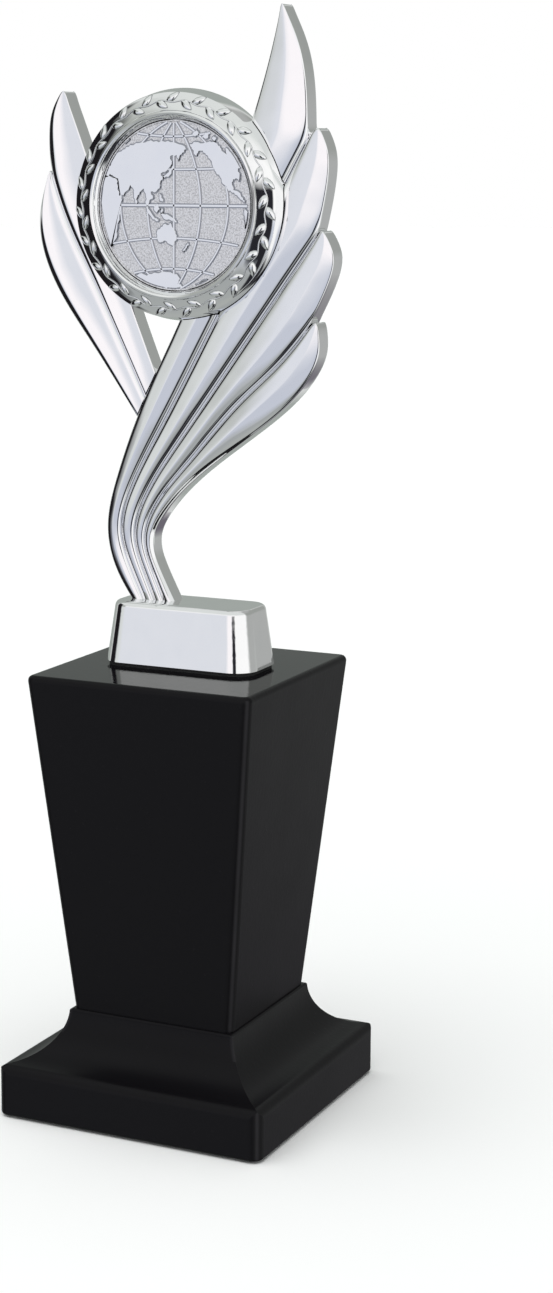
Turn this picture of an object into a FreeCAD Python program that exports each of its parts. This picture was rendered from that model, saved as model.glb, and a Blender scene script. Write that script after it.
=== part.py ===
import FreeCAD, Part
import math
import os

# A figure trophy: two cast wings carry a laurel medallion with a globe disc, and a cast block
# fastens them to a tapered black column on a moulded square plinth.
# Millimetres, +Z up, the front faces -Y, and the origin is the middle of the underside.

# Stand
PLINTH_HALF = 37.0
PLINTH_BOTTOM = 0.5
PLINTH_SIDE_TOP = 11.4
PLINTH_CORNER_R = 3.0
PLINTH_FOOT_R = 0.8
SHOULDER_INSET, SHOULDER_RISE = 0.6, 1.6
SHELF_HALF, SHELF_Z = 35.0, 13.8
COVE_MID_HALF, COVE_MID_Z = 27.0, 17.9
LIP_HALF, LIP_Z = 23.2, 26.0
LIP_EDGE_R = 0.6
COLUMN_BOTTOM = 26.8
COLUMN_TOP = 115.0
COLUMN_HALF_BOTTOM = 22.5
COLUMN_HALF_TOP = 31.1
COLUMN_EDGE_R = 2.2
COLUMN_RIM_R = 1.4
FELT_HALF = 33.0
FELT_T = 1.0
FELT_GAP = 0.3

# Tie rod and its nut, in a counterbore under the plinth
ROD_R = 2.95
ROD_HOLE_R = 3.5
ROD_TAP_R = 3.05
ROD_BOTTOM, ROD_TOP = 3.0, 127.5
COUNTERBORE_R = 10.0
COUNTERBORE_TOP = 12.0
WASHER_R, WASHER_T = 9.0, 1.6
SPRING_WASHER_R, SPRING_WASHER_T = 5.0, 1.6
SPRING_SLIT = 0.6
NUT_ACROSS_FLATS = 10.0
NUT_T = 5.0

# Dowels, wood screws and locating pins of the stand
DOWEL_X, DOWEL_R, DOWEL_HALF_LEN = 12.0, 3.0, 9.0
DOWEL_END_GAP = 0.5
WOOD_SCREW_Y, WOOD_SCREW_R, WOOD_SCREW_HEAD_R = 13.0, 1.9, 3.8
WOOD_SCREW_TOP = 42.0
PIN_X, PIN_R = 17.5, 1.4
PIN_BOTTOM, PIN_TOP = 108.0, 121.0
CLEARANCE = 0.1

# Cast block and the gasket under it
BLOCK_LENGTH, BLOCK_WIDTH = 42.0, 20.5
BLOCK_CORNER_R = 6.0
BLOCK_DRAFT = 2.0
BLOCK_TOP_R = 1.6
GASKET_T = 1.0
GASKET_INSET = 0.6
BLOCK_BOTTOM = COLUMN_TOP + GASKET_T
BLOCK_TOP = 131.5

# Wings: flat plates with a raised ridge along every feather
WING_BACK = 3.0
WING_FRONT = -2.2
RIDGE_FOOT = -1.8
RIDGE_CREST = -4.9
RIDGE_INSET = 0.05
RIDGE_STATIONS = 15
WING_GAP = 0.15
TAB_FRONT = 0.3
TAB_GAP = 0.2

# Medallion
MEDAL_X, MEDAL_Z = -1.4, 231.4
RING_BACK = -1.0
RING_FRONT = -8.5
RING_R_BACK = 28.6
RING_R_FRONT = 27.6
RING_SHOULDER_Y = -6.2
LIP_OUTER_R, LIP_INNER_R, LIP_SIDE_Y = 23.2, 21.8, -7.9
RING_BORE_R = 20.9
RING_BORE_TOP = -6.3
RING_FLOOR = -4.5
TAPE_R, TAPE_T = 19.0, 0.5
DISC_R, DISC_T = 20.8, 1.2
DISC_RIM_R, DISC_RIM_W, DISC_RELIEF = 20.6, 0.5, 0.3
RING_SCREW_R_AT = 25.0
RING_SCREW_ANGLES = (10.0, -65.0, 202.0)

# Machine screws of the figure
SCREW_R, SCREW_HEAD_R = 1.25, 2.3
WING_SCREWS = ((-10.0, 176.5), (-4.6, 186.6))
WING_SCREW_TIP = -2.6
RING_SCREW_TIP = -5.5
STEM_SCREW_X = (-13.3, -8.3)
STEM_SCREW_Y = 0.4
STEM_SCREW_TIP = 137.0

# Lines of the right wing in the X-Z plane, each from the foot upwards: the left edge of feather 1,
# the valleys between feathers, and the right edge of feather 4. Each valley ends at a notch.
EDGE_LEFT = (
    (-15.5, 131.5), (-20.1, 139.0), (-22.5, 150.0), (-20.0, 161.8), (-11.9, 182.6),
    (-1.7, 203.0), (9.5, 229.5), (17.9, 252.1), (23.2, 269.5), (25.7, 280.0),
)
VALLEY_12 = (
    (-11.9, 131.5), (-15.7, 139.5), (-18.6, 149.0), (-16.0, 159.4), (-7.3, 175.7),
    (6.1, 200.0), (25.2, 234.3), (32.8, 248.0),
)
VALLEY_23 = (
    (-8.9, 131.5), (-12.4, 139.8), (-14.8, 148.5), (-12.8, 155.8), (-2.5, 172.1),
    (10.8, 190.5), (23.0, 207.4), (35.7, 225.1),
)
VALLEY_34 = (
    (-6.3, 131.5), (-9.9, 139.9), (-12.0, 147.5), (-10.5, 152.8), (0.6, 167.5),
    (15.8, 184.3), (25.3, 193.0), (33.5, 202.6),
)
EDGE_RIGHT = (
    (-3.5, 131.5), (-7.9, 140.1), (-9.8, 146.5), (-6.8, 153.3), (5.3, 165.5),
    (21.8, 177.8), (32.5, 188.2), (36.5, 198.0), (35.4, 203.3),
)
# Free right edges of feathers 1 to 3, each from its notch to its tip.
TIP_1 = ((32.8, 248.0), (32.6, 256.7), (30.5, 269.7), (25.7, 280.0))
TIP_2 = ((35.7, 225.1), (38.2, 237.8), (37.6, 246.8), (35.3, 250.4))
TIP_3 = ((33.5, 202.6), (38.6, 213.0), (39.9, 220.6), (36.9, 225.3))

# Lines of the left wing: the outer edge of the short feather, the valley, and both edges of the
# long feather. All four start at the root, which passes behind the stem of the right wing.
LEFT_OUTER = (
    (-10.5, 173.5), (-13.9, 178.4), (-27.3, 197.2), (-38.8, 214.7), (-41.7, 227.5), (-38.6, 239.6),
)
LEFT_VALLEY = ((-8.0, 176.0), (-11.9, 183.9), (-27.2, 214.4), (-35.7, 231.7), (-38.2, 239.2))
LEFT_TIP = ((-38.2, 239.2), (-38.7, 248.7), (-36.9, 256.8), (-34.3, 259.8))
LEFT_INNER = (
    (-4.5, 179.5), (-8.7, 189.8), (-14.9, 205.4), (-21.5, 224.5), (-28.7, 245.7), (-34.3, 259.8),
)
# Half-thickness tab of the left wing, which laps behind the stem of the right wing.
TAB = (
    (-13.0, 178.2), (-9.5, 170.5), (1.0, 176.5), (2.5, 188.0), (-4.0, 194.0), (-9.0, 188.2),
    (-13.0, 187.0), (-16.0, 182.5),
)

UP = FreeCAD.Vector(0, 0, 1)
BACKWARDS = FreeCAD.Vector(0, 1, 0)
FORWARDS = FreeCAD.Vector(0, -1, 0)
PAST = 5.0
OVERCUT = 1.0


def vec(x, y, z):
    return FreeCAD.Vector(x, y, z)


def save(shape, node):
    shape.exportStep(os.path.join("parts", node + ".step"))


def rounded_slab(half_x, half_y, corner_r, bottom, top):
    slab = Part.makeBox(2 * half_x, 2 * half_y, top - bottom, vec(-half_x, -half_y, bottom))
    upright = [e for e in slab.Edges if abs(e.tangentAt(e.FirstParameter).z) > 0.9]
    return slab.makeFillet(corner_r, upright)


def rod(radius, bottom, top, x=0.0, y=0.0):
    return Part.makeCylinder(radius, top - bottom, vec(x, y, bottom), UP)


def countersunk_screw(head_at, direction, length, shank_r, head_r):
    """A countersunk screw with a cross recess, and the plug that cuts its hole."""
    cone_len = head_r - shank_r
    drive_w, drive_depth = 0.28 * head_r, 0.45 * head_r
    turn = FreeCAD.Rotation(UP, direction)

    def placed(shape):
        shape.Placement = FreeCAD.Placement(head_at, turn).multiply(shape.Placement)
        return shape

    head = Part.makeCone(head_r, shank_r, cone_len)
    shank = Part.makeCylinder(shank_r, length)
    screw = head.fuse(shank).removeSplitter()
    arm = 0.55 * head_r
    for long_x, long_y in ((arm, drive_w / 2), (drive_w / 2, arm)):
        slot = Part.makeBox(2 * long_x, 2 * long_y, drive_depth, vec(-long_x, -long_y, 0))
        screw = screw.cut(slot)
    hole_r = shank_r + CLEARANCE
    hole_head_r = head_r + CLEARANCE
    plug_cone = Part.makeCone(hole_head_r, hole_r, cone_len)
    plug_shank = Part.makeCylinder(hole_r, length + CLEARANCE)
    lead_in = Part.makeCylinder(hole_head_r, PAST, vec(0, 0, -PAST))
    plug = plug_cone.fuse([plug_shank, lead_in])
    return placed(screw), placed(plug)


def curve(points, y):
    """A smooth edge through points of the X-Z plane, at depth y."""
    spline = Part.BSplineCurve()
    spline.interpolate([vec(x, y, z) for x, z in points])
    return spline.toShape()


def straight(a, b, y):
    return Part.makeLine(vec(a[0], y, a[1]), vec(b[0], y, b[1]))


def plate(edges, front, back):
    """A flat plate from front to back over a closed outline drawn at the front."""
    return Part.Face(Part.Wire(edges)).extrude(vec(0, back - front, 0))


def ridge(left_edges, right_edges):
    """The raised ridge of one feather: triangles from its left line over a crest to its right line."""
    left = Part.Wire(left_edges).discretize(Number=RIDGE_STATIONS)
    right = Part.Wire(right_edges).discretize(Number=RIDGE_STATIONS)
    sections = []
    for a, b in list(zip(left, right))[:-1]:
        across = b - a
        low = a + across * RIDGE_INSET
        high = b - across * RIDGE_INSET
        crest = a + across * 0.5
        corners = [
            vec(low.x, RIDGE_FOOT, low.z),
            vec(crest.x, RIDGE_CREST, crest.z),
            vec(high.x, RIDGE_FOOT, high.z),
        ]
        sections.append(Part.makePolygon(corners + corners[:1]))
    return Part.makeLoft(sections, True, True)


def medal_cylinder(radius, front, back):
    return Part.makeCylinder(radius, back - front, vec(MEDAL_X, front, MEDAL_Z), BACKWARDS)


def tab_prism(front, back, grow):
    outline = Part.makePolygon([vec(x, front, z) for x, z in TAB + TAB[:1]])
    if grow:
        outline = outline.makeOffset2D(grow)
    return Part.Face(outline).extrude(vec(0, back - front, 0))


def right_outline(y):
    edges = [curve(EDGE_LEFT, y), curve(TIP_1, y)]
    edges += [straight(TIP_1[0], TIP_2[-1], y), curve(TIP_2, y)]
    edges += [straight(TIP_2[0], TIP_3[-1], y), curve(TIP_3, y)]
    edges += [straight(TIP_3[0], EDGE_RIGHT[-1], y), curve(EDGE_RIGHT, y)]
    edges += [straight(EDGE_RIGHT[0], EDGE_LEFT[0], y)]
    return Part.__sortEdges__(edges)


def right_wing(cutters):
    """Four feathers that spring from one fluted stem, seated for the ring and the left wing's tab."""
    y = RIDGE_FOOT
    wing = plate(right_outline(WING_FRONT), WING_FRONT, WING_BACK)
    feathers = (
        ([curve(EDGE_LEFT, y)], [curve(VALLEY_12, y), curve(TIP_1, y)]),
        ([curve(VALLEY_12, y), straight(VALLEY_12[-1], TIP_2[-1], y)],
         [curve(VALLEY_23, y), curve(TIP_2, y)]),
        ([curve(VALLEY_23, y), straight(VALLEY_23[-1], TIP_3[-1], y)],
         [curve(VALLEY_34, y), curve(TIP_3, y)]),
        ([curve(VALLEY_34, y), straight(VALLEY_34[-1], EDGE_RIGHT[-1], y)],
         [curve(EDGE_RIGHT, y)]),
    )
    for left_edges, right_edges in feathers:
        wing = wing.fuse(ridge(left_edges, right_edges))
    wing = wing.cut(medal_cylinder(RING_R_BACK + FELT_GAP, -3 * PAST, RING_BACK))
    wing = wing.cut(tab_prism(TAB_FRONT - TAB_GAP, WING_BACK + PAST, TAB_GAP))
    return wing.cut(cutters)


def left_wing(cutters):
    """Two feathers, trimmed to the side of the stem, with a thin tab that laps behind it."""
    y = RIDGE_FOOT
    edges = [curve(LEFT_OUTER, WING_FRONT), straight(LEFT_OUTER[-1], LEFT_TIP[0], WING_FRONT)]
    edges += [curve(LEFT_TIP, WING_FRONT), curve(LEFT_INNER, WING_FRONT)]
    edges += [straight(LEFT_INNER[0], LEFT_OUTER[0], WING_FRONT)]
    wing = plate(Part.__sortEdges__(edges), WING_FRONT, WING_BACK)
    feathers = (
        ([curve(LEFT_VALLEY, y), curve(LEFT_TIP, y)], [curve(LEFT_INNER, y)]),
        ([curve(LEFT_OUTER, y)], [curve(LEFT_VALLEY, y)]),
    )
    for left_edges, right_edges in feathers:
        wing = wing.fuse(ridge(left_edges, right_edges))
    stem = plate(right_outline(-2 * PAST), -2 * PAST, 2 * PAST)
    stem.translate(vec(-WING_GAP, 0, 0))
    wing = wing.cut(stem)
    wing = wing.fuse(tab_prism(TAB_FRONT, WING_BACK, 0))
    wing = wing.cut(medal_cylinder(RING_R_BACK + FELT_GAP, -3 * PAST, RING_BACK))
    return wing.cut(cutters)


def medallion_ring(cutters):
    """A round cup with a drafted side, a sloping face, a beaded lip and a bevelled bore."""
    def straights(corners):
        points = [vec(r, y, 0) for r, y in corners]
        return [Part.makeLine(a, b) for a, b in zip(points, points[1:])]

    profile = straights([(0, RING_BACK), (RING_R_BACK, RING_BACK), (RING_R_FRONT, RING_SHOULDER_Y),
                         (LIP_OUTER_R, LIP_SIDE_Y)])
    bead_top = vec((LIP_OUTER_R + LIP_INNER_R) / 2, RING_FRONT, 0)
    profile += [Part.Arc(vec(LIP_OUTER_R, LIP_SIDE_Y, 0), bead_top,
                         vec(LIP_INNER_R, LIP_SIDE_Y, 0)).toShape()]
    profile += straights([(LIP_INNER_R, LIP_SIDE_Y), (RING_BORE_R, RING_BORE_TOP),
                          (RING_BORE_R, RING_FLOOR), (0, RING_FLOOR), (0, RING_BACK)])
    cup = Part.Face(Part.Wire(profile)).revolve(vec(0, 0, 0), BACKWARDS, 360)
    cup.translate(vec(MEDAL_X, 0, MEDAL_Z))
    return cup.cut(cutters)


def globe_disc():
    """A struck disc with a raised circle round its edge."""
    back = RING_FLOOR - TAPE_T
    front = back - DISC_T
    disc = medal_cylinder(DISC_R, front, back)
    circle = medal_cylinder(DISC_RIM_R, front - DISC_RELIEF, back)
    circle = circle.cut(medal_cylinder(DISC_RIM_R - DISC_RIM_W, front - PAST, front))
    return disc.fuse(circle).removeSplitter()


def rounded_wire(half_x, half_y, corner_r, z):
    """A rectangle with rounded corners at height z."""
    lines, arcs = [], []
    diagonal = corner_r * math.sqrt(0.5)
    for sx, sy in ((1, 1), (-1, 1), (-1, -1), (1, -1)):
        cx, cy = sx * (half_x - corner_r), sy * (half_y - corner_r)
        ends = [vec(cx + sx * corner_r, cy, z), vec(cx, cy + sy * corner_r, z)]
        if sx * sy < 0:
            ends.reverse()
        arcs.append((ends[0], vec(cx + sx * diagonal, cy + sy * diagonal, z), ends[1]))
    for arc, following in zip(arcs, arcs[1:] + arcs[:1]):
        lines += [Part.Arc(*arc).toShape(), Part.makeLine(arc[2], following[0])]
    return Part.Wire(lines)


def figure_block(cutters):
    """A cast block with rounded corners and drafted sides, tapped underneath for the tie rod."""
    block = Part.makeLoft([
        rounded_wire(BLOCK_LENGTH / 2, BLOCK_WIDTH / 2, BLOCK_CORNER_R, BLOCK_BOTTOM),
        rounded_wire(BLOCK_LENGTH / 2 - BLOCK_DRAFT, BLOCK_WIDTH / 2 - BLOCK_DRAFT,
                     BLOCK_CORNER_R - BLOCK_DRAFT / 2, BLOCK_TOP),
    ], True, True)
    rim = [e for e in block.Edges if abs(e.CenterOfMass.z - BLOCK_TOP) < CLEARANCE]
    block = block.makeFillet(BLOCK_TOP_R, rim)
    holes = [rod(ROD_TAP_R, BLOCK_BOTTOM, ROD_TOP + OVERCUT)]
    holes += [rod(PIN_R + CLEARANCE, BLOCK_BOTTOM, PIN_TOP + CLEARANCE, x) for x in (-PIN_X, PIN_X)]
    return block.cut(holes + cutters)


def block_gasket():
    """A thin foam sheet between the cast block and the lacquered column."""
    sheet = rounded_slab(BLOCK_LENGTH / 2 - GASKET_INSET, BLOCK_WIDTH / 2 - GASKET_INSET,
                         BLOCK_CORNER_R - GASKET_INSET, COLUMN_TOP, BLOCK_BOTTOM)
    holes = [rod(ROD_HOLE_R, COLUMN_TOP, BLOCK_BOTTOM)]
    holes += [rod(PIN_R + CLEARANCE, COLUMN_TOP, BLOCK_BOTTOM, x) for x in (-PIN_X, PIN_X)]
    return sheet.cut(holes)


def square_wire(half, z):
    corners = [vec(x * half, y * half, z) for x, y in ((-1, -1), (1, -1), (1, 1), (-1, 1))]
    return Part.makePolygon(corners + corners[:1])


def column(cutters):
    """A square wooden column, wider at the top, with softened edges."""
    wires = [square_wire(COLUMN_HALF_BOTTOM, COLUMN_BOTTOM), square_wire(COLUMN_HALF_TOP, COLUMN_TOP)]
    body = Part.makeLoft(wires, True, True)
    middle = (COLUMN_BOTTOM + COLUMN_TOP) / 2
    corners = [e for e in body.Edges if abs(e.CenterOfMass.z - middle) < PAST]
    body = body.makeFillet(COLUMN_EDGE_R, corners)
    rim = [e for e in body.Edges if abs(e.CenterOfMass.z - COLUMN_TOP) < CLEARANCE]
    body = body.makeFillet(COLUMN_RIM_R, rim)
    holes = [rod(ROD_HOLE_R, COLUMN_BOTTOM - OVERCUT, COLUMN_TOP + OVERCUT)]
    holes += [rod(PIN_R + CLEARANCE, PIN_BOTTOM - CLEARANCE, COLUMN_TOP + OVERCUT, x) for x in (-PIN_X, PIN_X)]
    holes += [rod(DOWEL_R + CLEARANCE, COLUMN_BOTTOM - OVERCUT, COLUMN_BOTTOM + DOWEL_HALF_LEN, x)
              for x in (-DOWEL_X, DOWEL_X)]
    return body.cut(holes + cutters)


def plinth(cutters):
    """A square moulded plinth: the same cove profile along X and along Y, mitred at the corners."""
    def moulding(to_vector, along):
        def at(half, z):
            return to_vector(half, z)

        right = [
            Part.makeLine(at(PLINTH_HALF, PLINTH_BOTTOM), at(PLINTH_HALF, PLINTH_SIDE_TOP)),
            Part.Arc(at(PLINTH_HALF, PLINTH_SIDE_TOP),
                     at(PLINTH_HALF - SHOULDER_INSET, PLINTH_SIDE_TOP + SHOULDER_RISE),
                     at(SHELF_HALF, SHELF_Z)).toShape(),
            Part.Arc(at(SHELF_HALF, SHELF_Z), at(COVE_MID_HALF, COVE_MID_Z),
                     at(LIP_HALF, LIP_Z)).toShape(),
            Part.makeLine(at(LIP_HALF, LIP_Z), at(LIP_HALF, COLUMN_BOTTOM - LIP_EDGE_R)),
            Part.Arc(at(LIP_HALF, COLUMN_BOTTOM - LIP_EDGE_R),
                     at(LIP_HALF - LIP_EDGE_R * (1 - math.sqrt(0.5)),
                        COLUMN_BOTTOM - LIP_EDGE_R * (1 - math.sqrt(0.5))),
                     at(LIP_HALF - LIP_EDGE_R, COLUMN_BOTTOM)).toShape(),
        ]
        left = [e.mirror(vec(0, 0, 0), to_vector(1, 0)) for e in right]
        caps = [
            Part.makeLine(at(LIP_EDGE_R - LIP_HALF, COLUMN_BOTTOM),
                          at(LIP_HALF - LIP_EDGE_R, COLUMN_BOTTOM)),
            Part.makeLine(at(-PLINTH_HALF, PLINTH_BOTTOM), at(PLINTH_HALF, PLINTH_BOTTOM)),
        ]
        edges = Part.__sortEdges__(right + left + caps)
        profile = Part.Face(Part.Wire(edges))
        profile.translate(along * -PLINTH_HALF)
        return profile.extrude(along * (2 * PLINTH_HALF))

    along_y = moulding(lambda half, z: vec(half, 0, z), vec(0, 1, 0))
    along_x = moulding(lambda half, z: vec(0, half, z), vec(1, 0, 0))
    soft = rounded_slab(PLINTH_HALF, PLINTH_HALF, PLINTH_CORNER_R, PLINTH_BOTTOM, COLUMN_BOTTOM)
    foot = [e for e in soft.Edges if abs(e.CenterOfMass.z - PLINTH_BOTTOM) < CLEARANCE]
    soft = soft.makeFillet(PLINTH_FOOT_R, foot)
    body = along_y.common(along_x).common(soft)
    recess_half = FELT_HALF + FELT_GAP
    recess = Part.makeBox(2 * recess_half, 2 * recess_half, FELT_T,
                          vec(-recess_half, -recess_half, 0))
    holes = [recess, rod(COUNTERBORE_R, 0, COUNTERBORE_TOP), rod(ROD_HOLE_R, 0, COLUMN_BOTTOM + OVERCUT)]
    holes += [rod(DOWEL_R + CLEARANCE, COLUMN_BOTTOM - DOWEL_HALF_LEN, COLUMN_BOTTOM + OVERCUT, x)
              for x in (-DOWEL_X, DOWEL_X)]
    return body.cut(holes + cutters)


def felt_pad():
    """A sheet of felt in the shallow recess under the plinth, half its thickness proud of it."""
    return rounded_slab(FELT_HALF, FELT_HALF, PLINTH_CORNER_R, 0, FELT_T)


def washer(radius, thickness, top):
    return rod(radius, top - thickness, top).cut(rod(ROD_TAP_R + CLEARANCE, 0, COLUMN_BOTTOM))


def tie_nut(top):
    corner_r = NUT_ACROSS_FLATS / 2 / math.cos(math.radians(30))
    corners = [vec(corner_r * math.cos(math.radians(60 * i)), corner_r * math.sin(math.radians(60 * i)),
                   top - NUT_T) for i in range(6)]
    hexagon = Part.Face(Part.makePolygon(corners + corners[:1])).extrude(vec(0, 0, NUT_T))
    return hexagon.cut(rod(ROD_TAP_R, 0, COLUMN_BOTTOM))


def spring_washer(top):
    ring = washer(SPRING_WASHER_R, SPRING_WASHER_T, top)
    slit = Part.makeBox(SPRING_WASHER_R, SPRING_SLIT, SPRING_WASHER_T,
                        vec(0, -SPRING_SLIT / 2, top - SPRING_WASHER_T))
    return ring.cut(slit)


def main():
    os.makedirs("parts", exist_ok=True)

    stem_pairs = [
        countersunk_screw(vec(x, STEM_SCREW_Y, BLOCK_BOTTOM), UP, STEM_SCREW_TIP - BLOCK_BOTTOM,
                          SCREW_R, SCREW_HEAD_R)
        for x in STEM_SCREW_X
    ]
    ring_pairs = []
    for angle in RING_SCREW_ANGLES:
        x = MEDAL_X + RING_SCREW_R_AT * math.cos(math.radians(angle))
        z = MEDAL_Z + RING_SCREW_R_AT * math.sin(math.radians(angle))
        ring_pairs.append(countersunk_screw(vec(x, WING_BACK, z), FORWARDS,
                                            WING_BACK - RING_SCREW_TIP, SCREW_R, SCREW_HEAD_R))
    wing_pairs = [
        countersunk_screw(vec(x, WING_BACK, z), FORWARDS, WING_BACK - WING_SCREW_TIP,
                          SCREW_R, SCREW_HEAD_R)
        for x, z in WING_SCREWS
    ]
    wood_pairs = [
        countersunk_screw(vec(0, y, FELT_T), UP, WOOD_SCREW_TOP - FELT_T,
                          WOOD_SCREW_R, WOOD_SCREW_HEAD_R)
        for y in (-WOOD_SCREW_Y, WOOD_SCREW_Y)
    ]

    def screws(pairs):
        return Part.makeCompound([screw for screw, plug in pairs])

    def plugs(pairs):
        return [plug for screw, plug in pairs]

    save(right_wing(plugs(stem_pairs + ring_pairs + wing_pairs)), "right_wing")
    save(left_wing(plugs(ring_pairs + wing_pairs)), "left_wing")
    save(medallion_ring(plugs(ring_pairs)), "medallion_ring")
    save(medal_cylinder(TAPE_R, RING_FLOOR - TAPE_T, RING_FLOOR), "disc_tape")
    save(globe_disc(), "globe_disc")
    save(screws(ring_pairs), "ring_screws")
    save(screws(wing_pairs), "left_wing_screws")
    save(screws(stem_pairs), "stem_screws")
    save(figure_block(plugs(stem_pairs)), "figure_block")
    save(block_gasket(), "block_gasket")
    save(Part.makeCompound([rod(PIN_R, PIN_BOTTOM, PIN_TOP, x) for x in (-PIN_X, PIN_X)]),
         "locating_pins")
    save(column(plugs(wood_pairs)), "column")
    save(plinth(plugs(wood_pairs)), "plinth")
    dowel_end = DOWEL_HALF_LEN - DOWEL_END_GAP
    save(Part.makeCompound([rod(DOWEL_R, COLUMN_BOTTOM - dowel_end, COLUMN_BOTTOM + dowel_end, x)
                            for x in (-DOWEL_X, DOWEL_X)]), "column_dowels")
    save(screws(wood_pairs), "plinth_screws")
    save(rod(ROD_R, ROD_BOTTOM, ROD_TOP), "tie_rod")
    spring_top = COUNTERBORE_TOP - WASHER_T
    nut_top = spring_top - SPRING_WASHER_T
    save(washer(WASHER_R, WASHER_T, COUNTERBORE_TOP), "plain_washer")
    save(spring_washer(spring_top), "spring_washer")
    save(tie_nut(nut_top), "tie_nut")
    save(felt_pad(), "felt_pad")


main()
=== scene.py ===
import math

import bmesh
import bpy
import numpy as np
from mathutils import Matrix, Vector


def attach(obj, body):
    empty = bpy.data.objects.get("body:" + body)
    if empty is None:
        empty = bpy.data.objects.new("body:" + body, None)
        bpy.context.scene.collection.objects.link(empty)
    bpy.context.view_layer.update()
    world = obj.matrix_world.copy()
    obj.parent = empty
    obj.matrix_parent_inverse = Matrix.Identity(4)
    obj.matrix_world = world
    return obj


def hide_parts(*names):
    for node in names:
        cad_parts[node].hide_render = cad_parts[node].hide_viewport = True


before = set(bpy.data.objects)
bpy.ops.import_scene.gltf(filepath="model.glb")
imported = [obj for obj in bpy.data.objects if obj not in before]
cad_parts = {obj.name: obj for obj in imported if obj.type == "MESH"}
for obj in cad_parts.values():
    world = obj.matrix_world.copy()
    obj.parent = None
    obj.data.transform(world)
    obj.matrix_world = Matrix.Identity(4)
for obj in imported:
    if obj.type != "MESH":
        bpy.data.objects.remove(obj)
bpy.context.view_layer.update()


# ---- Camera ----
# A long lens at the trophy's right front, level with the medallion and tilted down at the
# stand, with a slight shift so that the object fills the tall frame.
CAMERA_PLACE = (0.28339, -0.57164, 0.24402)
CAMERA_DIP = 9.57
CAMERA_TURN = 26.47

camera_data = bpy.data.cameras.new("camera")
camera_data.lens = 70.75
camera_data.sensor_width = 36.0
camera_data.shift_x = 0.0700
camera_data.shift_y = -0.0499
camera = bpy.data.objects.new("camera", camera_data)
camera.location = CAMERA_PLACE
camera.rotation_euler = (math.radians(90 - CAMERA_DIP), 0, math.radians(CAMERA_TURN))
bpy.context.scene.collection.objects.link(camera)
bpy.context.scene.camera = camera
bpy.context.scene.view_settings.view_transform = "Standard"


# ---- Studio floor ----
# White paper, lit from above by one very soft lamp. The paper and the lamp stay out of the
# metal's reflections, which show the light tent instead.
FLOOR_R = 8.0
LAMP_STRENGTH = 1.6
LAMP_ANGLE = math.radians(70)
LAMP_TILT = (math.radians(12), math.radians(-8), 0)


def new_object(name, bm):
    """Makes a bmesh into an object of the scene."""
    mesh = bpy.data.meshes.new(name)
    bm.to_mesh(mesh)
    bm.free()
    obj = bpy.data.objects.new(name, mesh)
    bpy.context.scene.collection.objects.link(obj)
    return obj


def shader(name):
    """A new material, its node tree and its shader."""
    material = bpy.data.materials.new(name)
    material.use_nodes = True
    tree = material.node_tree
    return material, tree, tree.nodes["Principled BSDF"]


floor_bm = bmesh.new()
bmesh.ops.create_circle(floor_bm, cap_ends=True, radius=FLOOR_R, segments=64)
floor = new_object("studio_floor", floor_bm)
floor_paper, _, paper_bsdf = shader("studio_paper")
paper_bsdf.inputs["Base Color"].default_value = (0.95, 0.95, 0.95, 1)
paper_bsdf.inputs["Roughness"].default_value = 0.9
paper_bsdf.inputs["Specular IOR Level"].default_value = 0.0
floor.data.materials.append(floor_paper)
floor.visible_glossy = False

lamp_data = bpy.data.lights.new("overhead_lamp", "SUN")
lamp_data.energy = LAMP_STRENGTH
lamp_data.angle = LAMP_ANGLE
lamp = bpy.data.objects.new("overhead_lamp", lamp_data)
lamp.rotation_euler = LAMP_TILT
lamp.visible_glossy = False
bpy.context.scene.collection.objects.link(lamp)


# ---- Light tent ----
# White cloth all round, with grey and black panels hung in it, because polished metal needs
# something dark to draw its edges with. Only reflections and light see the panels.
DEGREES = 180 / math.pi
WHITE_CLOTH = (1.0, 1.0, 1.0, 1)
PANELS = (
    # left, right, low, high, softness, colour
    (-100, 100, 24, 120, 16, (0.72, 0.745, 0.735, 1)),
    (-9, 62, -20, 16, 14, (0.735, 0.755, 0.81, 1)),
    (-8, 17, -3, 14, 8, (1.0, 0.965, 0.985, 1)),
    (38, 62, -20, 14, 12, (0.68, 0.705, 0.70, 1)),
    (-40, 66, -28, -7, 8, (0.56, 0.59, 0.67, 1)),
    (34, 64, 8, 32, 10, (0.40, 0.42, 0.40, 1)),
    (-40, 70, -60, -24, 10, (0.36, 0.38, 0.385, 1)),
    (-180, 180, -95, -38, 14, (0.40, 0.42, 0.41, 1)),
    (95, 180, -60, 70, 14, (0.36, 0.39, 0.37, 1)),
    (-180, -95, -60, 70, 14, (0.41, 0.42, 0.415, 1)),
    (-180, -95, 6, 40, 10, (0.33, 0.345, 0.33, 1)),
    (-180, -128, -70, -20, 10, (0.15, 0.138, 0.165, 1)),
    (-146, -112, -26, -6, 8, (0.62, 0.65, 0.63, 1)),
    (57, 92, -42, 36, 7, (0.012, 0.011, 0.013, 1)),
    (-25, -9, -44, 8, 4, (0.02, 0.02, 0.025, 1)),
    (-95, -22, -74, -40, 8, (0.03, 0.03, 0.035, 1)),
)


def join(tree, value, socket):
    """Links another node's output to a socket, or sets the socket to a plain value."""
    if isinstance(value, bpy.types.NodeSocket):
        tree.links.new(value, socket)
    else:
        socket.default_value = value


def calc(tree, operation, a, b=0.0, clamp=False):
    """One step of arithmetic on two numbers or outputs."""
    node = tree.nodes.new("ShaderNodeMath")
    node.operation = operation
    node.use_clamp = clamp
    join(tree, a, node.inputs[0])
    join(tree, b, node.inputs[1])
    return node.outputs[0]


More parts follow.
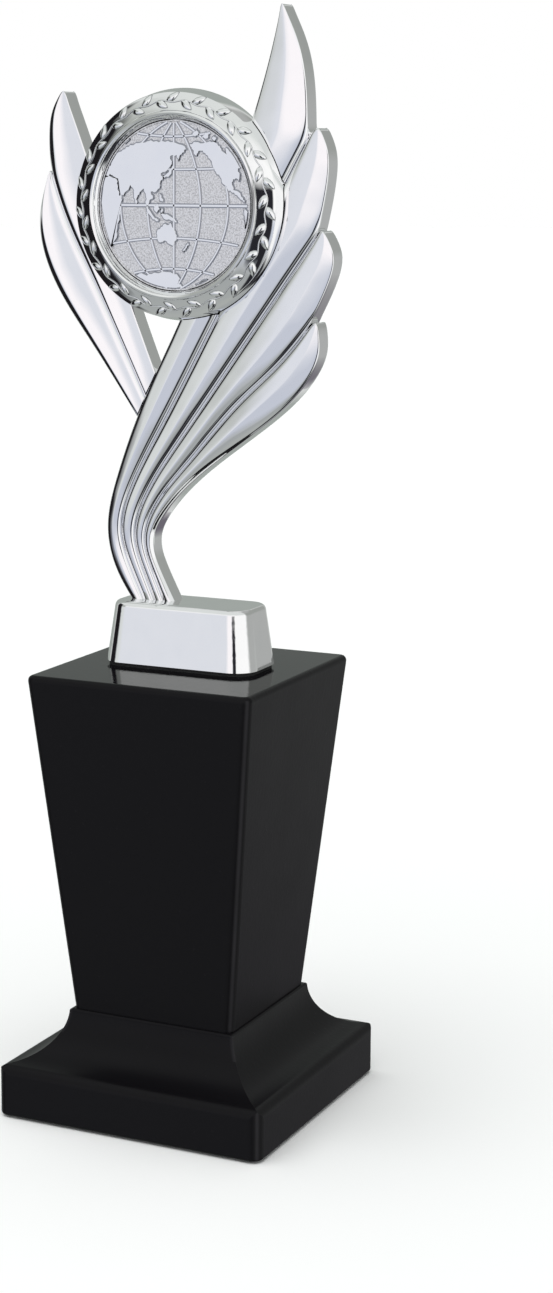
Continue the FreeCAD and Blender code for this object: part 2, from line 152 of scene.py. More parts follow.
def mix(tree, share, under, over):
    """The colour under where share is 0, the colour over where it is 1, and a blend between."""
    node = tree.nodes.new("ShaderNodeMix")
    node.data_type = "RGBA"
    for index, value in ((0, share), (6, under), (7, over)):
        join(tree, value, node.inputs[index])
    return node.outputs[2]


world = bpy.data.worlds.new("light_tent")
bpy.context.scene.world = world
world.use_nodes = True
tent_tree = world.node_tree
ray_way = tent_tree.nodes.new("ShaderNodeTexCoord").outputs["Generated"]
split = tent_tree.nodes.new("ShaderNodeSeparateXYZ")
join(tent_tree, ray_way, split.inputs[0])
# Bearing in degrees from the front (-Y), positive towards the left (-X), and height in degrees.
turn = calc(tent_tree, "ARCTAN2", calc(tent_tree, "MULTIPLY", split.outputs[0], -1.0),
            calc(tent_tree, "MULTIPLY", split.outputs[1], -1.0))
bearing = calc(tent_tree, "MULTIPLY", turn, DEGREES)
height = calc(tent_tree, "MULTIPLY", calc(tent_tree, "ARCSINE", split.outputs[2]), DEGREES)


def panel(left, right, low, high, soft):
    """1 inside a rectangle of bearings and heights, 0 outside, with soft edges in degrees."""
    mask = 1.0
    for value, edge, side in ((bearing, left, 1.0), (bearing, right, -1.0),
                              (height, low, 1.0), (height, high, -1.0)):
        inside = calc(tent_tree, "MULTIPLY", calc(tent_tree, "SUBTRACT", value, edge), side / soft)
        mask = calc(tent_tree, "MULTIPLY", mask, calc(tent_tree, "ADD", inside, 0.5, clamp=True))
    return mask


tent = WHITE_CLOTH
for *edges, colour in PANELS:
    tent = mix(tent_tree, panel(*edges), tent, colour)
ray = tent_tree.nodes.new("ShaderNodeLightPath")
sky = tent_tree.nodes["Background"]
join(tent_tree, mix(tent_tree, ray.outputs["Is Camera Ray"], tent, WHITE_CLOTH), sky.inputs["Color"])
sky.inputs["Strength"].default_value = 1.0


# ---- Silver plate ----
# Bright silver plate over a zinc casting. Hand polishing leaves the big faces a little wavy,
# with faint haze, a few pinholes from the casting, and soft swirl marks.
MM = 0.001
BEST_SHINE = 0.025
PIT_EDGE = (0.035, 0.075)
PIT_SHARE = 0.035
GROUND_GREY = (0.62, 0.62, 0.63, 1)


def node_in(tree, kind, **values):
    """A node with settings (small first letter) and inputs (capital first letter) by name."""
    node = tree.nodes.new("ShaderNode" + kind)
    for key, value in values.items():
        if key[0].islower():
            setattr(node, key, value)
        else:
            join(tree, value, node.inputs[key.replace("_", " ")])
    return node


def object_place(tree):
    """Each point's place on the object, in metres."""
    return node_in(tree, "TexCoord").outputs["Object"]


def noise(tree, place, scale, detail, **more):
    """Soft random blotches, about as many to the metre as scale."""
    return node_in(tree, "TexNoise", Vector=place, Scale=scale, Detail=detail, **more).outputs["Fac"]


def stretched(tree, scale):
    """Each point's place on the object, with each axis scaled on its own."""
    return node_in(tree, "Mapping", Vector=object_place(tree), Scale=scale).outputs["Vector"]


def fade(tree, value, low, high, start=0.0, end=1.0):
    """start where a value is below low, end where it is above high, and a ramp between."""
    return node_in(tree, "MapRange", Value=value, From_Min=low, From_Max=high,
                   To_Min=start, To_Max=end).outputs[0]


def total(tree, base, *parts):
    """A base plus other values, each given with the share of it to add."""
    for value, share in parts:
        base = calc(tree, "ADD", base, calc(tree, "MULTIPLY", value, share))
    return base


def effect(name, inputs, outputs):
    """A node group with number sockets: the group, what comes in, and what goes out."""
    group = bpy.data.node_groups.new(name, "ShaderNodeTree")
    for names, way in ((inputs, "INPUT"), (outputs, "OUTPUT")):
        for socket in names:
            group.interface.new_socket(socket, in_out=way, socket_type="NodeSocketFloat")
    return group, group.nodes.new("NodeGroupInput").outputs, group.nodes.new("NodeGroupOutput").inputs


def finish(tree, bsdf, colour, roughness, height, strength, depth):
    """Gives a shader its colour, its roughness and a bump of a depth in metres."""
    join(tree, colour, bsdf.inputs["Base Color"])
    join(tree, roughness, bsdf.inputs["Roughness"])
    bump = node_in(tree, "Bump", Height=height, Strength=strength, Distance=depth)
    join(tree, bump.outputs["Normal"], bsdf.inputs["Normal"])


def stain(material, share, colour):
    """Lays another colour over a material's own, by a share from 0 to 1."""
    tree = material.node_tree
    base = tree.nodes["Principled BSDF"].inputs["Base Color"]
    join(tree, mix(tree, share, base.links[0].from_socket, colour), base)


polish, polish_in, polish_out = effect("polished_casting", ("Wave Size", "Wave Depth", "Haze", "Pits"),
                                       ("Tint", "Roughness", "Height"))
place = object_place(polish)
wave = noise(polish, place, polish_in["Wave Size"], 1.0)
haze = noise(polish, place, 220.0, 4.0, Roughness=0.6)
swirl = noise(polish, place, 1400.0, 2.0, Distortion=1.5)
pit = node_in(polish, "TexVoronoi", Vector=place, Scale=170.0)
pit_draw = node_in(polish, "SeparateColor", Color=pit.outputs["Color"]).outputs[0]
hole = calc(polish, "MULTIPLY", fade(polish, pit.outputs["Distance"], *PIT_EDGE, 1.0, 0.0),
            calc(polish, "LESS_THAN", pit_draw, PIT_SHARE))
hole = calc(polish, "MULTIPLY", hole, polish_in["Pits"])
cloudy = calc(polish, "POWER", haze, 3.0)
join(polish, total(polish, BEST_SHINE, (cloudy, polish_in["Haze"]), (hole, 0.3)), polish_out["Roughness"])
join(polish, total(polish, 0.0, (wave, polish_in["Wave Depth"]), (swirl, 0.004), (hole, -0.5)),
     polish_out["Height"])
join(polish, total(polish, haze, (hole, -0.6)), polish_out["Tint"])


def silver_plate(name, wave_size, wave_depth, haze_amount, pits, deep, bright):
    """Polished plate: tint between two silvers, haze in the roughness, waviness in a bump."""
    material, tree, bsdf = shader(name)
    group = node_in(tree, "Group", node_tree=polish, Wave_Size=wave_size, Wave_Depth=wave_depth,
                    Haze=haze_amount, Pits=pits).outputs
    finish(tree, bsdf, mix(tree, group["Tint"], deep, bright), group["Roughness"], group["Height"],
           1.0, 0.1 * MM)
    bsdf.inputs["Metallic"].default_value = 1.0
    return material


def ground_back(material):
    """Adds the casting's belt-ground back: upright hairlines and a duller shine on faces to +Y."""
    tree = material.node_tree
    shine = tree.nodes["Principled BSDF"].inputs["Roughness"]
    facing = node_in(tree, "SeparateXYZ", Vector=node_in(tree, "NewGeometry").outputs["Normal"])
    behind = calc(tree, "GREATER_THAN", facing.outputs[1], 0.9)
    hairline = noise(tree, stretched(tree, (9.0, 1.0, 0.25)), 500.0, 4.0)
    blotch = noise(tree, object_place(tree), 70.0, 4.0)
    scuff = total(tree, 0.0, (hairline, 0.22), (blotch, 0.2))
    join(tree, total(tree, shine.links[0].from_socket, (scuff, behind)), shine)
    stain(material, calc(tree, "MULTIPLY", calc(tree, "MULTIPLY", hairline, 0.55), behind), GROUND_GREY)


wing_silver = silver_plate("polished_silver_plate", 90.0, 1.2, 0.18, 1.0,
                           (0.93, 0.935, 0.95, 1), (0.985, 0.98, 0.98, 1))
ground_back(wing_silver)


# ---- Right wing ----
# One casting in zinc alloy: four feathers that spring from a fluted, S-curved stem. Each feather
# has a soft crest, a groove parts it from the next one, and the casting's back is flat.
WING_BACK = 3.0
RIM_Y = -2.6
CREST_RISE = 1.2
CREST_SLOPE = 0.155
TIP_CREST = 0.3
TIP_PROUD = 0.05
TIP_REACH = 0.75
TIP_ROWS = 13
FOOT_RISE = 0.1
EDGE_WIDTH_MAX = 0.42
EDGE_WIDTH_SHARE = 0.13
EDGE_LIFT = 0.34
GROOVE_DEPTH = 1.0
GROOVE_SHARE = 0.24
CREST_CREASE = 0.35
GROOVE_CREASE = 0.9
# Two stations between the edge and the crest: share of the way, and of the rise left to climb.
UP_STATIONS = ((0.40, 0.44), (0.78, 0.85))
# Two stations past the crest: share of the way that is left to go.
DOWN_STATIONS = (0.84, 0.48)
EVEN_FALL = (0.92, 0.64, 0.28)
WALL_SUPPORT = 0.45
MERGE = 0.03
SLIVER = 0.05
CASTING_LEVELS = 2
CASTING_SHARP = 38
ROWS_TO_NOTCH = 27
ROWS_ON_TIP_3 = 8
ROWS_ON_TIP_2 = 8
ROWS_ON_TIP_1 = 10
MEDAL_X, MEDAL_Z = -1.4, 231.4
SEAT_R = 28.75
SEAT_Y = -1.0
SEAT_DRAFT = 0.19
SEAT_REACH = 20.0
REBATE_FRONT = 0.1
REBATE_GAP = 0.2

EDGE_LEFT = (
    (-15.5, 131.5), (-20.1, 139.0), (-22.5, 150.0), (-20.0, 161.8), (-11.9, 182.6),
    (-1.7, 203.0), (9.5, 229.5), (17.9, 252.1), (23.2, 269.5), (25.7, 280.0),
)
VALLEY_12 = (
    (-11.9, 131.5), (-15.7, 139.5), (-18.6, 149.0), (-16.0, 159.4), (-7.3, 175.7),
    (6.1, 200.0), (25.2, 234.3), (32.8, 248.0),
)
VALLEY_23 = (
    (-8.9, 131.5), (-12.4, 139.8), (-14.8, 148.5), (-12.8, 155.8), (-2.5, 172.1),
    (10.8, 190.5), (23.0, 207.4), (35.7, 225.1),
)
VALLEY_34 = (
    (-6.3, 131.5), (-9.9, 139.9), (-12.0, 147.5), (-10.5, 152.8), (0.6, 167.5),
    (15.8, 184.3), (25.3, 193.0), (33.5, 202.6),
)
EDGE_RIGHT = (
    (-3.5, 131.5), (-7.9, 140.1), (-9.8, 146.5), (-6.8, 153.3), (5.3, 165.5),
    (21.8, 177.8), (32.5, 188.2), (36.5, 198.0), (35.4, 203.3),
)
TIP_1 = ((32.8, 248.0), (32.6, 256.7), (30.5, 269.7), (25.7, 280.0))
TIP_2 = ((35.7, 225.1), (38.2, 237.8), (37.6, 246.8), (35.3, 250.4))
TIP_3 = ((33.5, 202.6), (38.6, 213.0), (39.9, 220.6), (36.9, 225.3))
TAB = (
    (-13.0, 178.2), (-9.5, 170.5), (1.0, 176.5), (2.5, 188.0), (-4.0, 194.0), (-9.0, 188.2),
    (-13.0, 187.0), (-16.0, 182.5),
)


def verts_in(geom):
    """The vertices in what an operator gives back."""
    return [g for g in geom if isinstance(g, bmesh.types.BMVert)]


def in_metres(name, bm):
    """Makes a bmesh drawn in millimetres into an object of the scene, in metres."""
    bmesh.ops.scale(bm, verts=bm.verts, vec=(MM, MM, MM))
    return new_object(name, bm)


def smooth(mesh, sharp_angle):
    """Shades a mesh smooth, but for edges sharper than an angle in degrees."""
    mesh.shade_smooth()
    mesh.set_sharp_from_angle(angle=math.radians(sharp_angle))


def smooth_line(points, count):
    """Evenly spaced points along the smooth curve through a few points of the X-Z plane."""
    p = np.array(points, float)
    t = np.concatenate([[0], np.cumsum(np.linalg.norm(np.diff(p, axis=0), axis=1))])
    h = np.diff(t)
    n = len(t)
    system = np.eye(n)
    load = np.zeros((n, 2))
    for i in range(1, n - 1):
        system[i, i - 1:i + 2] = h[i - 1], 2 * (h[i - 1] + h[i]), h[i]
        load[i] = 6 * ((p[i + 1] - p[i]) / h[i] - (p[i] - p[i - 1]) / h[i - 1])
    bend = np.linalg.solve(system, load)
    u = np.linspace(0, t[-1], 60 * n)
    i = np.clip(np.searchsorted(t, u, side="right") - 1, 0, n - 2)
    a = ((t[i + 1] - u) / h[i])[:, None]
    b = ((u - t[i]) / h[i])[:, None]
    cubic = ((a ** 3 - a) * bend[i] + (b ** 3 - b) * bend[i + 1]) * (h[i] ** 2)[:, None] / 6
    fine = a * p[i] + b * p[i + 1] + cubic
    run = np.concatenate([[0], np.cumsum(np.linalg.norm(np.diff(fine, axis=0), axis=1))])
    even = np.linspace(0, run[-1], count)
    return np.stack([np.interp(even, run, fine[:, k]) for k in (0, 1)], axis=1)


def feather_front(bm, left, right, crest_at, grooves_left, grooves_right,
                  foot_rows=0, tip_rows=TIP_ROWS, crest_max=CREST_RISE, fall=EVEN_FALL, dropped=0.0):
    """A grid laid between two chains of points: groove, edge, crest, edge and groove across it.

    Up to row grooves_left (or grooves_right) that side ends in a groove, and above it in the
    casting's own edge. The last row is the feather's tip, a single point. The crest sinks
    towards the foot over foot_rows and towards the tip over tip_rows. fall is how much of the
    crest's height is left at three stations down its right side. A free right edge is dropped
    by a depth that fades towards the tip."""
    crease = bm.edges.layers.float["crease_edge"]
    rows = len(left)
    columns = 9
    verts = bmesh.ops.create_grid(bm, x_segments=columns - 1, y_segments=rows - 1, size=1.0)["verts"]
    sheet = {}
    for v in verts:
        sheet[round((v.co.y + 1) / 2 * (rows - 1)), round((v.co.x + 1) / 2 * (columns - 1))] = v
    ahead = left[-1] - (left[-3] + right[-3]) / 2
    tip = left[-1] + ahead / np.linalg.norm(ahead) * TIP_REACH
    for j in range(rows):
        across = right[j] - left[j]
        width = max(float(np.linalg.norm(across)), 1e-6)
        inset = min(EDGE_WIDTH_MAX, EDGE_WIDTH_SHARE * width) / width
        drop = dropped * (1 - j / rows) if j >= grooves_right else 0.0
        flat = min((rows - 1 - j) / tip_rows, 1.0)
        fullness = TIP_CREST + (1 - TIP_CREST) * flat * flat * (3 - 2 * flat)
        rise = min(crest_max, CREST_SLOPE * width) * fullness
        if j < foot_rows:
            rise *= FOOT_RISE + (1 - FOOT_RISE) * j / foot_rows
        ditch = min(GROOVE_DEPTH, GROOVE_SHARE * width)
        edge_rise = EDGE_LIFT * rise
        to_crest = crest_at - inset
        past_crest = 1 - crest_at
        section = [(0.0, ditch if j < grooves_left else 0.0), (inset, -edge_rise)]
        section += [(inset + way * to_crest, -edge_rise - climb * (rise - edge_rise))
                    for way, climb in UP_STATIONS]
        section += [(crest_at, -rise)]
        section += [(1 - past_crest * way, -rise * left_up) for way, left_up in zip(DOWN_STATIONS, fall)]
        section += [(1 - inset - drop / width, -rise * fall[2]),
                    (1.0, ditch if j < grooves_right else drop)]
        for k, (u, y) in enumerate(section):
            point = left[j] + across * u if j < rows - 1 else tip
            sheet[j, k].co = (point[0], RIM_Y + (y if j < rows - 1 else -TIP_PROUD), point[1])
    for j in range(rows - 2):
        for k, sharp in ((4, CREST_CREASE), (0, GROOVE_CREASE * (j < grooves_left)),
                         (8, GROOVE_CREASE * (j < grooves_right))):
            bm.edges.get((sheet[j, k], sheet[j + 1, k]))[crease] = sharp


def close_casting(bm, foot_z=None):
    """Makes the front sheet a solid: a narrow rounded edge, upright walls and a flat back."""
    crease = bm.edges.layers.float["crease_edge"]
    bmesh.ops.remove_doubles(bm, verts=bm.verts, dist=MERGE)
    bmesh.ops.dissolve_degenerate(bm, edges=bm.edges, dist=0.01)
    bmesh.ops.recalc_face_normals(bm, faces=bm.faces)
    copy = bmesh.ops.duplicate(bm, geom=bm.verts[:] + bm.edges[:] + bm.faces[:])["geom"]
    back_faces = [g for g in copy if isinstance(g, bmesh.types.BMFace)]
    for v in verts_in(copy):
        v.co.y = WING_BACK
    for e in (g for g in copy if isinstance(g, bmesh.types.BMEdge)):
        e[crease] = 0.0
    bmesh.ops.reverse_faces(bm, faces=back_faces)
    on_back = {e for f in back_faces for e in f.edges}
    rim = [e for e in bm.edges if e.is_boundary and e not in on_back]
    for level in (None, WING_BACK - WALL_SUPPORT, WING_BACK):
        wall = bmesh.ops.extrude_edge_only(bm, edges=rim)["geom"]
        rim = [g for g in wall if isinstance(g, bmesh.types.BMEdge)
               and all(v in wall for v in g.verts) and g.is_boundary]
        for v in {v for e in rim for v in e.verts}:
            v.co.y = v.co.y + WALL_SUPPORT if level is None else level
    bmesh.ops.remove_doubles(bm, verts=bm.verts, dist=MERGE)
    if foot_z is not None:
        for e in bm.edges:
            if all(abs(v.co.z - foot_z) < 0.05 for v in e.verts):
                e[crease] = 1.0
    bmesh.ops.recalc_face_normals(bm, faces=bm.faces)


def thicken(bm, points, depth):
    """Adds a face over a loop of points and extrudes it along Y."""
    face = bm.faces.new([bm.verts.new(p) for p in points])
    lift = bmesh.ops.extrude_face_region(bm, geom=[face])["geom"]
    bmesh.ops.translate(bm, verts=verts_in(lift), vec=(0, depth, 0))


def prism(name, outline, front, back, grow=0.0):
    """An upright block over an outline in X-Z, moved out by grow: a cutter or a plain tab."""
    bm = bmesh.new()
    outline = np.array(outline)
    away = outline - np.mean(outline, axis=0)
    grown = outline + away / np.linalg.norm(away, axis=1, keepdims=True) * grow
    thicken(bm, [(x, front, z) for x, z in grown], back - front)
    bmesh.ops.recalc_face_normals(bm, faces=bm.faces)
    return in_metres(name, bm)


def seat_cutter():
    """The round pocket that the medallion's ring sits in."""
    bm = bmesh.new()
    bmesh.ops.create_cone(bm, cap_ends=True, segments=128, radius1=SEAT_R,
                          radius2=SEAT_R - SEAT_DRAFT * SEAT_REACH, depth=SEAT_REACH)
    bmesh.ops.rotate(bm, verts=bm.verts, cent=(0, 0, 0), matrix=Matrix.Rotation(math.pi / 2, 3, "X"))
    bmesh.ops.translate(bm, verts=bm.verts, vec=(MEDAL_X, SEAT_Y - SEAT_REACH / 2, MEDAL_Z))
    return in_metres("ring_seat_cutter", bm)


def carve(obj, cutters):
    """Subdivides a casting, cuts its seats, and keeps the result as a plain mesh."""
    subdivide = obj.modifiers.new("rounding", "SUBSURF")
    subdivide.levels = CASTING_LEVELS
    subdivide.render_levels = CASTING_LEVELS
    for cutter in cutters:
        cut = obj.modifiers.new("seat", "BOOLEAN")
        cut.operation = "DIFFERENCE"
        cut.solver = "EXACT"
        cut.object = cutter
    bpy.context.view_layer.update()
    done = bpy.data.meshes.new_from_object(obj.evaluated_get(bpy.context.evaluated_depsgraph_get()))
    obj.modifiers.clear()
    bm = bmesh.new()
    bm.from_mesh(done)
    bmesh.ops.remove_doubles(bm, verts=bm.verts, dist=SLIVER * MM)
    bmesh.ops.dissolve_degenerate(bm, edges=bm.edges, dist=0.2 * SLIVER * MM)
    bm.to_mesh(done)
    bm.free()
    obj.data = done
    for cutter in cutters:
        bpy.data.objects.remove(cutter)
    smooth(done, CASTING_SHARP)


def with_tip(chain, tip, rows):
    """A valley's points, followed by the points of the feather's free edge above the notch."""
    return np.concatenate([chain, smooth_line(tip, rows + 1)[1:]])


wing_bm = bmesh.new()
wing_bm.edges.layers.float.new("crease_edge")
rows_34 = ROWS_TO_NOTCH
rows_23 = rows_34 + ROWS_ON_TIP_3 - 1
rows_12 = rows_23 + ROWS_ON_TIP_2 - 1
valley_34 = smooth_line(VALLEY_34, rows_34)
valley_23 = smooth_line(VALLEY_23, rows_23)
valley_12 = smooth_line(VALLEY_12, rows_12)
feather_4 = (np.concatenate([valley_34, [EDGE_RIGHT[-1]]]), smooth_line(EDGE_RIGHT, rows_34 + 1))
feather_3 = (np.concatenate([valley_23, [TIP_3[-1]]]), with_tip(valley_34, TIP_3, ROWS_ON_TIP_3))
feather_2 = (np.concatenate([valley_12, [TIP_2[-1]]]), with_tip(valley_23, TIP_2, ROWS_ON_TIP_2))
feather_1 = (smooth_line(EDGE_LEFT, rows_12 + ROWS_ON_TIP_1), with_tip(valley_12, TIP_1, ROWS_ON_TIP_1))
for (left, right), crest_at, down_left, down_right, dropped in (
    (feather_1, 0.50, 0, rows_12, 0.0),
    (feather_2, 0.58, rows_12, rows_23, 0.0),
    (feather_3, 0.55, rows_23, rows_34, 0.0),
    (feather_4, 0.50, rows_34, 0, 0.9),
):
    feather_front(wing_bm, left, right, crest_at, down_left, down_right, dropped=dropped)
close_casting(wing_bm, foot_z=EDGE_LEFT[0][1])
right_wing = in_metres("right_wing_casting", wing_bm)
carve(right_wing, (seat_cutter(), prism("tab_rebate", TAB, REBATE_FRONT, WING_BACK + 1.0, REBATE_GAP)))
right_wing.data.materials.append(wing_silver)
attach(right_wing, "root")
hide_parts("right_wing")


# ---- Left wing ----
# A second casting with two feathers. Its foot is trimmed to the side of the right wing's stem, and
# a thin tab on it laps behind the stem, where two screws hold it.
LEFT_ROWS_TO_NOTCH = 21
LEFT_ROWS_ON_TIP = 7
# The crest runs close to the left edge, and the face to its right flattens out.
LEFT_CREST_AT = 0.18
LEFT_SHAPE = dict(foot_rows=8, tip_rows=5, crest_max=0.75, fall=(0.62, 0.12, 0.06))
STEM_GAP = 0.15
STEM_SIDE_Z = (150, 232)
STEM_CUTTER_Y = (-12.0, 6.0)
STEM_CUTTER_TOP = 40.0
STEM_CUTTER_FOOT = 60.0
TAB_FRONT = 0.3
LEFT_OUTER = (
    (-10.5, 173.5), (-13.9, 178.4), (-27.3, 197.2), (-38.8, 214.7), (-41.7, 227.5), (-38.6, 239.6),
)
LEFT_VALLEY = ((-8.0, 176.0), (-11.9, 183.9), (-27.2, 214.4), (-35.7, 231.7), (-38.2, 239.2))
LEFT_TIP = ((-38.2, 239.2), (-38.7, 248.7), (-36.9, 256.8), (-34.3, 259.8))
LEFT_INNER = (
    (-4.5, 179.5), (-8.7, 189.8), (-14.9, 205.4), (-21.5, 224.5), (-28.7, 245.7), (-34.3, 259.8),
)

left_bm = bmesh.new()
left_bm.edges.layers.float.new("crease_edge")
left_valley = smooth_line(LEFT_VALLEY, LEFT_ROWS_TO_NOTCH)
outer_feather = (smooth_line(LEFT_OUTER, LEFT_ROWS_TO_NOTCH + 1),
                 np.concatenate([left_valley, [LEFT_OUTER[-1]]]))
inner_feather = (with_tip(left_valley, LEFT_TIP, LEFT_ROWS_ON_TIP),
                 smooth_line(LEFT_INNER, LEFT_ROWS_TO_NOTCH + LEFT_ROWS_ON_TIP))
feather_front(left_bm, *outer_feather, LEFT_CREST_AT, 0, LEFT_ROWS_TO_NOTCH, **LEFT_SHAPE)
feather_front(left_bm, *inner_feather, LEFT_CREST_AT, LEFT_ROWS_TO_NOTCH, 0, **LEFT_SHAPE)
close_casting(left_bm)
left_wing = in_metres("left_wing_casting", left_bm)
stem_side = [(x - STEM_GAP, z) for x, z in smooth_line(EDGE_LEFT, 40)
             if STEM_SIDE_Z[0] < z < STEM_SIDE_Z[1]]
(foot_x, foot_z), (top_x, top_z) = stem_side[0], stem_side[-1]
stem_side += [(top_x + STEM_CUTTER_TOP, top_z), (foot_x + STEM_CUTTER_FOOT, foot_z)]
carve(left_wing, (prism("stem_side_cutter", stem_side, *STEM_CUTTER_Y), seat_cutter()))
tab = prism("left_wing_tab", TAB, TAB_FRONT, WING_BACK)
joined = bmesh.new()
joined.from_mesh(left_wing.data)
joined.from_mesh(tab.data)
joined.to_mesh(left_wing.data)
joined.free()
bpy.data.objects.remove(tab)
left_wing.data.materials.append(wing_silver)
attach(left_wing, "root")
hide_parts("left_wing")


# ---- Medallion ring ----
# A separate casting, screwed to the wings from behind. Its face is a shallow cone that carries a
# laurel wreath, and a bright double lip frames the disc.
RING_SECTION = (
    # radius, depth (Y)
    (0.0, -1.0), (28.55, -1.0), (28.6, -1.15), (28.1, -3.6), (27.75, -5.7), (27.55, -6.15),
    (27.1, -6.42), (26.4, -6.68), (25.3, -7.1), (24.2, -7.52), (23.45, -7.8), (23.2, -7.88),
    (23.12, -8.1), (22.95, -8.36), (22.5, -8.5), (22.05, -8.36), (21.88, -8.12), (21.75, -7.88),
    (21.6, -7.8), (21.2, -7.05), (20.95, -6.35), (20.9, -6.1), (20.9, -4.5), (0.0, -4.5),
)
RING_STEPS = 192
CONE_R, CONE_Y = 23.2, -7.88
CONE_TILT = math.atan2(1.7, 4.4)
TURNED_SHARP = 32
LEAF_PAIRS = 23
LEAF_LENGTH = 4.0
LEAF_WIDTH = 2.0
LEAF_BEND = 0.10
LEAF_HEIGHT = 0.6
LEAF_SPLAY = math.radians(27)
LEAF_ROUND = 0.28
LEAF_TAPER = 0.22
INNER_LAG = 0.42
STEM_R = 25.35
STEM_WAVE = 0.32
STEM_STEPS = 10 * LEAF_PAIRS
WREATH_STEM = ((-0.2, -0.15), (-0.17, 0.2), (0.0, 0.3), (0.17, 0.2), (0.2, -0.15))
# Heights above the cone over which the wreath's painted shade fades, from full below the first to none above
# the second.
WREATH_PAINTED_SHADE_HEIGHTS = (0.12 * MM, 0.30 * MM)


def medal_point(radius, angle, depth):
    """A point on the medallion, by radius, angle from +X towards +Z, and depth."""
    return Vector((MEDAL_X + radius * math.cos(angle), depth, MEDAL_Z + radius * math.sin(angle)))


def cone_depth(radius):
    """Depth of the ring's cone at a radius."""
    return CONE_Y + (radius - CONE_R) * math.tan(CONE_TILT)


def cone_ways(angle):
    """The directions up the cone and out of its face, at an angle round the medallion."""
    radial = Vector((math.cos(angle), 0, math.sin(angle)))
    up_cone = radial * math.cos(CONE_TILT) + Vector((0, math.sin(CONE_TILT), 0))
    return up_cone, radial * math.sin(CONE_TILT) - Vector((0, math.cos(CONE_TILT), 0))


def stem_point(angle):
    """A point on the wreath's wavy stem."""
    radius = STEM_R + STEM_WAVE * math.sin(LEAF_PAIRS * angle)
    return medal_point(radius, angle, cone_depth(radius))


def turned(bm, section, steps):
    """Spins a section of (radius, depth) right round the medallion's centre."""
    ring = [bm.verts.new(medal_point(r, 0.0, y)) for r, y in section]
    edges = [bm.edges.new(pair) for pair in zip(ring, ring[1:])]
    bmesh.ops.spin(bm, geom=ring + edges, cent=(MEDAL_X, 0, MEDAL_Z), axis=(0, 1, 0), dvec=(0, 0, 0),
                   angle=2 * math.pi, steps=steps, use_merge=True)
    bmesh.ops.remove_doubles(bm, verts=bm.verts, dist=0.001)
    bmesh.ops.recalc_face_normals(bm, faces=bm.faces)


def sweep(bm, path, section, closed=False):
    """A small closed section of (across, out) points swept along a path on the medallion.

    path holds (point, side, out) with the section's two directions at that point."""
    rows, columns = len(path), len(section)
    made = bmesh.ops.create_grid(bm, x_segments=columns, y_segments=rows - 1 + closed, size=1.0)["verts"]
    for v in made:
        k = round((v.co.x + 1) / 2 * columns) % columns
        j = round((v.co.y + 1) / 2 * (rows - 1 + closed)) % rows
        point, side, out = path[j]
        v.co = point + side * section[k][0] + out * section[k][1]
    bmesh.ops.remove_doubles(bm, verts=made, dist=0.0005)


def leaf(bm, base, along, side, out, bend):
    """A small almond-shaped leaf, half sunk in the face it stands on."""
    made = bmesh.ops.create_uvsphere(bm, u_segments=8, v_segments=7, radius=1.0)["verts"]
    for v in made:
        t = v.co.z
        plump = max(1 - t * t, 0.0) ** LEAF_ROUND * (1 - LEAF_TAPER * t)
        curve = bend * (t + 1) ** 2
        v.co = (base + along * (LEAF_LENGTH * (t + 1) / 2)
                + side * (v.co.x * plump * LEAF_WIDTH / 2 + curve) + out * (v.co.y * plump * LEAF_HEIGHT))


ring_bm = bmesh.new()
turned(ring_bm, RING_SECTION, RING_STEPS)
ring = in_metres("medallion_ring_casting", ring_bm)
smooth(ring.data, TURNED_SHARP)

wreath_bm = bmesh.new()
stem_angles = [2 * math.pi * i / STEM_STEPS for i in range(STEM_STEPS)]
sweep(wreath_bm, [(stem_point(a), *cone_ways(a)) for a in stem_angles], WREATH_STEM, closed=True)
for i in range(LEAF_PAIRS * 2):
    inner = i % 2
    angle = 2 * math.pi * (i // 2 + INNER_LAG * inner) / LEAF_PAIRS
    clockwise = Vector((math.sin(angle), 0, -math.cos(angle)))
    up_cone, out = cone_ways(angle)
    swing = LEAF_SPLAY * (-1 if inner else 1)
    along = clockwise * math.cos(swing) + up_cone * math.sin(swing)
    leaf(wreath_bm, stem_point(angle), along, out.cross(along), out, LEAF_BEND * (-1 if inner else 1))
bmesh.ops.recalc_face_normals(wreath_bm, faces=wreath_bm.faces)
wreath = in_metres("laurel_wreath", wreath_bm)
wreath.data.shade_smooth()

ring_silver = silver_plate("polished_silver_ring", 140.0, 0.7, 0.12, 0.6,
                           (0.93, 0.935, 0.94, 1), (0.985, 0.985, 0.975, 1))
ground_back(ring_silver)
wreath_silver = silver_plate("polished_silver_wreath", 300.0, 0.4, 0.12, 0.3,
                             (0.90, 0.91, 0.92, 1), (0.985, 0.985, 0.975, 1))
# Painted shade: the wreath's colour darkens to a dark grey low down, where the leaves and the stem meet the
# cone.
wreath_tree = wreath_silver.node_tree
spot = node_in(wreath_tree, "SeparateXYZ", Vector=object_place(wreath_tree)).outputs
off_x = calc(wreath_tree, "SUBTRACT", spot[0], MEDAL_X * MM)
off_z = calc(wreath_tree, "SUBTRACT", spot[2], MEDAL_Z * MM)
far_out = calc(wreath_tree, "SQRT", total(wreath_tree, 0.0, (off_x, off_x), (off_z, off_z)))
proud = total(wreath_tree, cone_depth(0.0) * MM, (far_out, math.tan(CONE_TILT)), (spot[1], -1.0))
stain(wreath_silver, fade(wreath_tree, proud, *WREATH_PAINTED_SHADE_HEIGHTS, 1.0, 0.0), (0.30, 0.31, 0.32, 1))
ring.data.materials.append(ring_silver)
wreath.data.materials.append(wreath_silver)
for piece in (ring, wreath):
    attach(piece, "root")
    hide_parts("medallion_ring")


